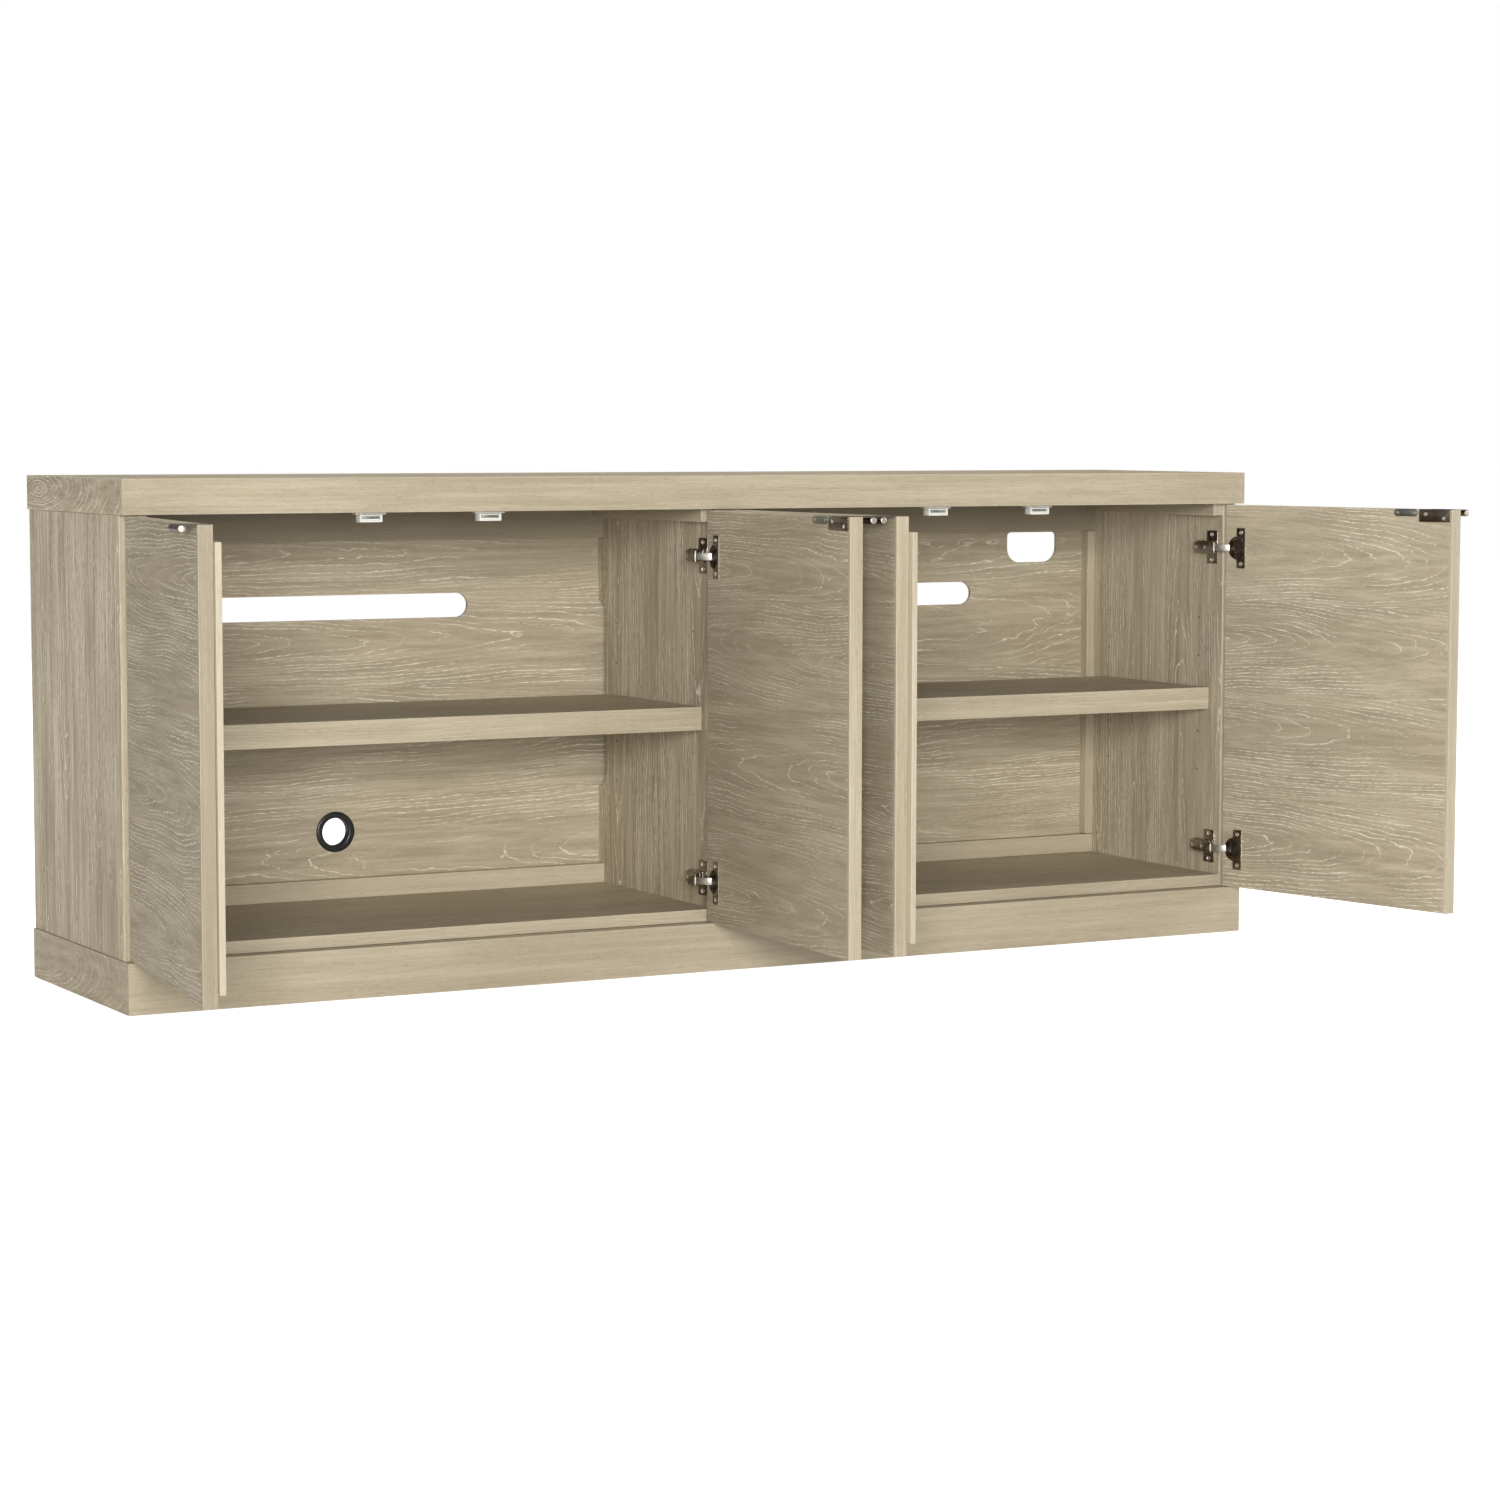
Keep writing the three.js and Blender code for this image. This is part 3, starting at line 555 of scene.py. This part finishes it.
# Each board's grain direction, the way it faces, where its veneer leaves meet across it (m),
# its tone, which on the ceiling and the upper back rail is painted shade, and what differs in its figure from
# BOARD_FIGURE.
CASE_BOARDS = {
    "top_board": (X, Z, (-0.06, 0.07), -0.05, FAINT),
    # The ceiling is painted nearly as dark as the dark tone: painted shade under the top.
    "ceiling_panel": (X, Z, (-0.05, 0.08), -0.95, FAINT),
    "top_front_rail": (X, -Y, (), 0.05, PLAIN_FIGURE),
    "top_left_rail": (Y, -X, (), -0.06, BURL),
    "top_right_rail": (Y, X, (), -0.06, BURL),
    "side_left": (Z, -X, (-0.163, -0.03, 0.108), -0.04, STREAKED),
    "side_right": (Z, X, (-0.108, 0.03, 0.163), 0.10, STREAKED),
    "partition": (Z, X, (-0.05, 0.09), -0.06, STREAKED),
    "deck": (X, Z, (-0.04, 0.09), 0.10, FAINT),
    "back_panel": (X, -Y, (0.235, 0.395, 0.53), -0.05, SLICED),
    # The upper back rail is painted dark: painted shade under the top's front edge.
    "back_rail_upper": (X, -Y, (), -0.65, PLAIN_FIGURE),
    "back_rail_lower": (X, -Y, (), 0.12, PLAIN_FIGURE),
    "plinth_front": (X, -Y, (), 0.06, PLAIN_FIGURE),
    "plinth_left": (Y, -X, (), -0.08, {}),
    "plinth_right": (Y, X, (), 0.0, {}),
    "plinth_back": (X, Y, (), 0.0, {}),
    "plinth_brace": (Y, -Z, (), 0.0, {}),
    "shelf_left": (X, Z, (-0.06, 0.05), 0.04, FAINT),
    "shelf_right": (X, Z, (-0.06, 0.05), 0.04, FAINT),
}

LEAF_SHARES = (0.25, 0.52, 0.78)  # where the veneer leaves of a door meet, up its height
LEAF_SHIFT = 0.03  # how far that varies
# Each door's tone is painted light and shade: the doors that stand in shade are darker, the lit right outer door a
# little paler.
DOOR_PAINTED_LIGHT_AND_SHADE = {"left_outer": -0.24, "left_inner": -0.30, "right_inner": -0.30, "right_outer": 0.05}
DOOR_LINES = {"left_outer": 1.5, "left_inner": 1.1, "right_inner": 1.2, "right_outer": 1.1}
# The tone of the strip along each door's free edge is painted light and shade: paler on the inner doors, darker on
# the left outer door.
LIP_PAINTED_LIGHT_AND_SHADE = {"left_outer": -0.20, "left_inner": 0.34, "right_inner": 0.34, "right_outer": 0.12}


def split(bm, axis, cuts):
    """Cuts the faces across an axis, so that each strip between two cuts can have its own figure."""
    for cut in cuts:
        geometry = bm.verts[:] + bm.edges[:] + bm.faces[:]
        bmesh.ops.bisect_plane(bm, geom=geometry, plane_co=axis * cut, plane_no=axis, dist=WELD)


def lay_grain(bm, name, length, face, strips, lip, figure, tone):
    """Writes the grain and the look of each face: its tone, which also carries painted light and shade,
    whether it is an eased edge, painted paler as a worn edge and as a painted highlight, and its ring
    lines. length and face are the directions along the board's grain and out of its face. strips are
    the edges of its veneer leaves, measured across it. lip says whether a point is in a door's solid strip."""
    width = face.cross(length)
    axes = (length, width, face)
    grain = bm.loops.layers.float_vector.new("grain")
    look = bm.loops.layers.float_vector.new("look")
    for f in bm.faces:
        normal = f.normal
        parts = [abs(normal.dot(axis)) for axis in axes]
        kind = parts.index(max(parts))
        # Eased edges are marked to be painted paler: partly worn edges, partly a painted highlight.
        worn = 1.0 if max(parts) < SQUARE else 0.0
        middle = f.calc_center_median()
        across_at = middle.dot(width)
        in_lip = lip is not None and lip(middle)
        in_hole = f.calc_area() < HOLE_FACE and parts[BROAD] < 0.1
        broad = kind == BROAD and not in_lip
        leaf = sum(1 for s in strips if across_at > s) if broad else 0
        outward = int(broad and normal.dot(face) > 0)
        draw = random.Random(f"{name}/{kind}/{leaf}/{outward}/{in_lip}")
        seed = draw.uniform(0, 40)
        if broad:
            a_axis, c_axis = length, width
            low = max([s for s in strips if s <= across_at], default=figure["low"])
            high = min([s for s in strips if s > across_at], default=figure["high"])
            heart = -(low + (high - low) * draw.uniform(*figure["centre"]))
            slope = draw.uniform(*figure["slope"]) * draw.choice((-1, 1))
            deep = draw.uniform(*figure["deep"]) + abs(slope) * figure["half"]
            bias = draw.uniform(-0.05, 0.07)
            lines = figure["lines"]
        else:
            a_axis = width if in_lip or kind != EDGE else length
            crosswise = (axis for axis in axes if axis != a_axis)
            c_axis = min(crosswise, key=lambda axis: abs(normal.dot(axis)))
            heart = EDGE_HEART + draw.uniform(0, 0.1)
            deep, slope = EDGE_DEEP, EDGE_SLOPE
            # On a door's solid strip and its ends, the tone is painted light and shade.
            bias = figure["edge"] if lip is not None and (in_lip or kind == END) else EDGE_TONE
            lines = EDGE_LINES
        for loop in f.loops:
            co = loop.vert.co
            a = co.dot(a_axis)
            loop[grain] = (a + seed, co.dot(c_axis) + heart, deep + slope * (a - figure["middle"]))
            # Inside pin holes the tone is painted dark, as painted shade.
            loop[look] = (PIN_HOLE_PAINTED_SHADE if in_hole else tone + bias, worn, lines)


def add_board(node, length, face, strips, tone, figure, ease=BOARD_EASE, lip=None, lip_cuts=()):
    """Replaces a flat CAD board with one that has eased edges and its own grain."""
    bm = node_bmesh(node)
    if ease:
        soften(bm, ease * MM, BOARD_SHORTEST * MM)
    width = face.cross(length)
    split(bm, width, strips)
    split(bm, length, lip_cuts)
    corners = [vert.co for vert in bm.verts]
    spans = [c.dot(width) for c in corners]
    along = [c.dot(length) for c in corners]
    plan = dict(BOARD_FIGURE, **figure)
    plan.update(low=min(spans), high=max(spans), middle=(min(along) + max(along)) / 2)
    plan["half"] = (max(along) - min(along)) / 2
    bm.normal_update()
    lay_grain(bm, node, length, face, sorted(strips), lip, plan, tone)
    made = piece(f"{node}_wood", bm, OAK, body_of(node))
    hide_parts(node)


def add_case_boards():
    """The boards that stay still. The thin back panel keeps its sharp edges."""
    for node, (length, face, strips, tone, figure) in CASE_BOARDS.items():
        ease = 0 if node == "back_panel" else BOARD_EASE
        add_board(node, length, face, strips, tone, figure, ease)


def add_doors():
    """The four doors, veneered in leaves, with a solid strip along the free edge and, on two of
    them, the strip that closes the gap to the next door."""
    for door in DOORS:
        along = direction(door_frame(door), X)
        outward = direction(door_frame(door), -Y)
        low, high = (corner.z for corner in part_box(f"door_{door}"))
        draw = random.Random(door)
        shares = [share + draw.uniform(-LEAF_SHIFT, LEAF_SHIFT) for share in LEAF_SHARES]
        leaves = [low + (high - low) * share for share in shares]
        if outward.cross(along).z < 0:
            leaves = [-z for z in leaves]
        free = (door_frame(door) @ Vector((DOOR_LIP, 0, 0))).dot(along)
        figure = dict(DOOR_FIGURE, lines=DOOR_LINES[door], edge=LIP_PAINTED_LIGHT_AND_SHADE[door])
        add_board(
            f"door_{door}", along, outward, leaves, DOOR_PAINTED_LIGHT_AND_SHADE[door], figure,
            lip=lambda at, axis=along, edge=free: at.dot(axis) > edge, lip_cuts=(free,),
        )
        if f"astragal_{door}" in frame["nodes"]:
            add_board(f"astragal_{door}", Z, outward, (), LIP_TONE, PLAIN_FIGURE, STRIP_EASE)


# ---- Small pieces -----------------------------------------------------------------------------
# These are drawn in millimetres in a frame that puts them on the cabinet.


def add_bar(bm, low, high, ease):
    """A box between two corners, with eased edges."""
    low, high = Vector(low), Vector(high)
    made = bmesh.ops.create_cube(bm, size=1)["verts"]
    for v in made:
        v.co = Vector((v.co.x + 0.5, v.co.y + 0.5, v.co.z + 0.5)) * (high - low) + low
    ease_edges(bm, list({e for v in made for e in v.link_edges}), ease)


def turning_axes(axis):
    """An axis and two more square to it."""
    axis = Vector(axis).normalized()
    u = axis.orthogonal().normalized()
    return axis, u, axis.cross(u)


def join_rings(bm, inner, outer):
    """A band of faces between two closed rows of as many corners."""
    count = len(inner)
    for k in range(count):
        after = (k + 1) % count
        bm.faces.new((inner[k], inner[after], outer[after], outer[k]))


def add_turning(bm, centre, axis, profile, sides=32):
    """A turned solid: profile holds (distance along the axis, radius) from one end to the other."""
    axis, u, v = turning_axes(axis)
    rings = []
    for along, radius in profile:
        middle = Vector(centre) + axis * along
        turns = (math.tau * k / sides for k in range(sides))
        rings.append([bm.verts.new(middle + (u * math.cos(w) + v * math.sin(w)) * radius) for w in turns])
    for lower, upper in zip(rings, rings[1:]):
        join_rings(bm, lower, upper)
    bm.faces.new(rings[0])
    bm.faces.new(rings[-1])


def add_tube(bm, centre, axis, profile):
    """A turned ring: profile is a closed outline of (distance along the axis, radius)."""
    sides = 64
    axis, u, v = turning_axes(axis)
    rings = []
    for k in range(sides):
        w = math.tau * k / sides
        out = u * math.cos(w) + v * math.sin(w)
        rings.append([bm.verts.new(Vector(centre) + axis * a + out * radius) for a, radius in profile])
    for here, there in zip(rings, rings[1:] + rings[:1]):
        join_rings(bm, here, there)


# A screw head is drawn as rings of corners: shares of its radius and height, and whether the
# ring lies in the cross recess. Each quarter turn has an arm of the cross, and then a web.
SCREW_RINGS = (
    (0.26, 1.0, True),
    (0.45, 0.98, True),
    (0.62, 0.90, False),
    (0.84, 0.68, False),
    (1.0, 0.30, False),
    (1.0, 0.0, False),
)
CROSS_FLOOR = (-0.55, 0.55)  # shares of an arm's half width
CROSS_TURNS = (-1.0, *CROSS_FLOOR, 1.0)
CROSS_ARM = 0.20  # shares of the head's radius
CROSS_WIDEST = 0.70
CROSS_DEPTH = 0.75  # shares of the head's height
CROSS_PIT = 0.2


def add_screw(bm, centre, axis, radius, height, spin):
    """A domed screw head with a cross recess, standing on a face at centre, out along the axis."""
    axis, u, v = turning_axes(axis)
    arm = CROSS_ARM * radius
    rings = []
    for share, rise, in_recess in SCREW_RINGS:
        r = share * radius
        reach = math.asin(min(arm / r, CROSS_WIDEST))
        ring = []
        for quarter in range(4):
            start = spin + quarter * math.pi / 2
            corners = [(turn * reach, in_recess and turn in CROSS_FLOOR) for turn in CROSS_TURNS]
            for turn, sunk in (*corners, (math.pi / 4, False)):
                w = start + turn
                level = height * (rise - (CROSS_DEPTH if sunk else 0.0))
                out = u * math.cos(w) + v * math.sin(w)
                ring.append(bm.verts.new(Vector(centre) + axis * level + out * r))
        rings.append(ring)
    for inner, outer in zip(rings, rings[1:]):
        join_rings(bm, inner, outer)
    pit = bm.verts.new(Vector(centre) + axis * height * CROSS_PIT)
    mouth = rings[0]
    for here, after in zip(mouth, mouth[1:] + mouth[:1]):
        bm.faces.new((pit, after, here))
    bm.faces.new(rings[-1])


def fit(name, bm, place, finish, body):
    """Puts a small piece that is drawn in millimetres on the cabinet."""
    bm.transform(place)
    return piece(name, bm, finish, body, smooth=40)


def add_strip(name, x, low, high, grain):
    """A strip of oak between two values of x, and between two corners seen along x."""
    bm = bmesh.new()
    add_bar(bm, (min(x), *low), (max(x), *high), STRIP_EASE)
    bm.transform(SCALE)
    bm.normal_update()
    bmesh.ops.recalc_face_normals(bm, faces=bm.faces)
    across = Z if abs(grain.z) < 0.5 else X
    lay_grain(bm, name, grain, grain.cross(across), (), None, STRIP_FIGURE, STRIP_TONE)
    piece(name, bm, OAK, "case", smooth=20)


def add_cleats():
    """Strips of wood along the top of each bay's walls, and one upright in each outer rear corner."""
    cleat, upright = 18, 14  # how far they stand from the wall
    low, high = (-180.5, 644.5), (172.4, CEILING)
    foot, head = (173, DECK + 30), (BACK_FRONT, 612.4)
    for bay, side in BAYS:
        inner = (side * BAY_INNER, side * (BAY_INNER + cleat))
        outer = (side * BAY_OUTER, side * (BAY_OUTER - cleat))
        corner = (side * BAY_OUTER, side * (BAY_OUTER - upright))
        add_strip(f"cleat_top_{bay}_inner", inner, low, high, Y)
        add_strip(f"cleat_top_{bay}_outer", outer, low, high, Y)
        add_strip(f"cleat_corner_{bay}", corner, foot, head, Z)


def add_shelf_pins():
    """Four pins in the walls of each bay, close under the shelf."""
    level = 366
    profile = ((-8, 1.8), (-7.6, 2.3), (1.0, 2.3), (1.3, 2.0))
    for bay, side in BAYS:
        for wall, at, into in (("inner", BAY_INNER, 1), ("outer", BAY_OUTER, -1)):
            for end, y in (("front", -119), ("rear", 129)):
                bm = bmesh.new()
                add_turning(bm, (side * at, y, level), (side * into, 0, 0), profile, 16)
                fit(f"shelf_pin_{bay}_{wall}_{end}", bm, SCALE, NICKEL, "case")


def add_grommet():
    """The cable grommet: a rounded flange on the back panel, and a barrel through it."""
    centre = (-446, 187.7, 185)
    flange, barrel = 3, 14
    bore, sleeve = 20.5, 25.5
    outline = (
        (0.9, 20.9), (0.3, 21.6), (0.05, 23.0), (0.0, 25.0), (0.05, 27.2), (0.4, 28.8), (1.1, 29.7),
        (2.2, 30.0), (flange, 29.8), (flange, sleeve), (barrel, sleeve), (barrel, bore), (2.0, bore),
    )
    bm = bmesh.new()
    add_tube(bm, centre, Y, outline)
    made = fit("grommet_ring", bm, SCALE, BLACK, "case")
    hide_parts("grommet")


def add_strike(door):
    """A thin plate with round ends for the catch's magnet, held by two screws."""
    place, body = door_frame(door), f"door_{door}"
    low, high, middle, half = 334.5, 378.5, 656.0, 5.4
    thick, screw_in = 1.1, 6.5
    outline = []
    for centre, start in ((high - half, -90), (low + half, 90)):
        for step in range(13):
            w = math.radians(start + 15 * step)
            outline.append((centre + half * math.cos(w), middle + half * math.sin(w)))
    bm = bmesh.new()
    base = bm.faces.new([bm.verts.new((t, DOOR_THICKNESS, z)) for t, z in outline])
    raised = bmesh.ops.extrude_face_region(bm, geom=[base])["geom"]
    verts = [v for v in raised if isinstance(v, bmesh.types.BMVert)]
    bmesh.ops.translate(bm, verts=verts, vec=(0, thick, 0))
    rim = [e for e in bm.edges if all(v.co.y > DOOR_THICKNESS + thick / 2 for v in e.verts)]
    ease_edges(bm, rim, 0.3)
    fit(f"strike_{door}", bm, place, ZINC, body)
    bm = bmesh.new()
    for n, t in enumerate((low + screw_in, high - screw_in)):
        at = (t, DOOR_THICKNESS + thick, middle)
        add_screw(bm, at, Y, radius=2.9, height=0.45, spin=0.3 + n)
    fit(f"strike_screws_{door}", bm, place, NICKEL, body)


def add_pull_details(door):
    """The two screws of a pull's plate, and the bright discs in the ends of its bar."""
    place, body = door_frame(door), f"door_{door}"
    plate = DOOR_THICKNESS + 1.5
    bm = bmesh.new()
    for across, z, spin in ((394, 654.7, 0.5), (428, 648.8, 0.9)):
        add_screw(bm, (across, plate, z), Y, radius=3.3, height=1.0, spin=spin)
    fit(f"pull_screws_{door}", bm, place, NICKEL, body)
    bm = bmesh.new()
    bar_axis = (-18, DOOR_TOP - 5)
    disc = ((-0.2, 4.5), (0.4, 4.5), (0.75, 4.1), (0.9, 3.2), (0.9, 0.6))
    for end, way in ((DOOR_WIDTH - 4, 1), (DOOR_WIDTH - 61, -1)):
        add_turning(bm, (end, *bar_axis), (way, 0, 0), disc)
    fit(f"pull_discs_{door}", bm, place, CHAMPAGNE, body)


# The ridge of a hinge's arm, mm: out from the wall, and back from the door's outer face. The
# nose is measured in from the door's hinged edge instead.
NOSE = (37.2, 40)
HEEL = (15.3, 58)
TAIL = (11.8, 82)
INNER_ARM_SCREWS = ((62.5, 3.4), (75, 4.4))  # how far back, and radius
OUTER_ARM_SCREWS = ((45, 3.8), (75, 4.4))
WING_FACE = SEAM + 2.5  # from the wall to the face of the mounting plate's wings
WING_SCREW = (46.5, 19.5)  # how far back, and above or below the hinge's middle
FLANGE_FACE = SEAM + 1.8  # from the door's inner face to the face of the cup's flange
FLANGE_SCREW = (33.0, 24)  # in from the door's hinged edge, and above or below the hinge's middle


def add_hinge_details(door, level):
    """Screws on the mounting plate's wings, on the arm and on the cup's flange."""
    z = HINGE_LEVELS[level]
    inner = "inner" in door
    wall = INNER_WALL if inner else OUTER_WALL
    back, off = WING_SCREW
    bm = bmesh.new()
    for way in (-1, 1):
        add_screw(bm, (wall + WING_FACE, back, z + way * off), X, radius=4.2, height=1.5, spin=0.7)
    ridge = (NOSE, (wall + HEEL[0], HEEL[1]), (wall + TAIL[0], TAIL[1]))
    for back, radius in INNER_ARM_SCREWS if inner else OUTER_ARM_SCREWS:
        start, end = ridge[:2] if back < HEEL[1] else ridge[1:]
        slope = (end[0] - start[0]) / (end[1] - start[1])
        at = (start[0] + slope * (back - start[1]), back, z)
        add_screw(bm, at, (1, -slope, 0), radius, height=1.2, spin=0.35)
    fit(f"arm_screws_{door}_{level}", bm, case_frame(door), NICKEL, "case")
    face = DOOR_THICKNESS + FLANGE_FACE
    across, off = FLANGE_SCREW
    bm = bmesh.new()
    for way in (-1, 1):
        add_screw(bm, (across, face, z + way * off), Y, radius=3.7, height=1.2, spin=0.6)
    fit(f"cup_screws_{door}_{level}", bm, door_frame(door), CHAMPAGNE, f"door_{door}")


def add_catch_details(door):
    """The magnet between two keepers in a catch's mouth, and the screws through its ears."""
    place = case_frame(door)
    middle, front, top = 355.5, 20.7, CEILING
    magnet, keeper, ear = 12.5, 13.7, 19.6  # how far they reach to each side of the middle
    bm = bmesh.new()
    add_bar(bm, (middle - magnet, front + 2.0, top - 8.3), (middle + magnet, front + 8.6, top - 5.2), 0.3)
    fit(f"catch_magnet_{door}", bm, place, ZINC, "case")
    bm = bmesh.new()
    for z in (top - 10.5, top - 5.0):
        add_bar(bm, (middle - keeper, front + 0.8, z), (middle + keeper, front + 8.8, z + 2.0), 0.4)
    fit(f"catch_keepers_{door}", bm, place, WHITE, "case")
    bm = bmesh.new()
    for way in (-1, 1):
        at = (middle + way * ear, front + 8, top - 2.5)
        add_screw(bm, at, -Z, radius=2.2, height=0.9, spin=0.5)
    fit(f"catch_screws_{door}", bm, place, NICKEL, "case")


FITTING_SHORTEST = 2.2  # shorter edges stay sharp, mm
PAINTED_HIGHLIGHT_LENGTH = 0.012  # only edges longer than this get the painted highlight, m


def refine(node, finish, ease, painted_edge_highlight=0.0):
    """Replaces a CAD solid with a copy whose sharp edges are rounded. The last argument is how thick a
    sheet's edge may be, in millimetres, to get a painted highlight."""
    bm = node_bmesh(node)
    soften(bm, ease * MM, FITTING_SHORTEST * MM)
    # Faces along thin sheet edges are marked for the painted highlight.
    mark = bm.loops.layers.float.new("painted_edge_highlight")
    for f in bm.faces:
        longest = max(e.calc_length() for e in f.edges)
        thin = f.calc_area() < painted_edge_highlight * MM * longest and longest > PAINTED_HIGHLIGHT_LENGTH
        for loop in f.loops:
            loop[mark] = 1.0 if thin else 0.0
    made = piece(f"{node}_finished", bm, finish, body_of(node), smooth=35)
    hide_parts(node)


# ---- The whole scene --------------------------------------------------------------------------

add_camera()
add_world()
for softbox in SOFTBOXES:
    add_softbox(*softbox)
add_floor()
add_case_boards()
add_doors()
add_cleats()
add_shelf_pins()
add_grommet()
for door in DOORS:
    refine(f"pull_{door}", BRONZE, 0.3)
    refine(f"catch_{door}", WHITE, 0.5)
    add_strike(door)
    add_pull_details(door)
    add_catch_details(door)
    for level in HINGE_LEVELS:
        # Hinge arms and cups get a painted highlight along their thin sheet edges.
        refine(f"hinge_arm_{door}_{level}", BRONZE, 0.5, painted_edge_highlight=2.6)
        refine(f"hinge_cup_{door}_{level}", BRONZE, 0.25, painted_edge_highlight=1.9)
        refine(f"hinge_link_{door}_{level}", NICKEL, 0.3)
        add_hinge_details(door, level)

SCENE.view_settings.view_transform = "Standard"
SCENE.view_settings.look = "None"
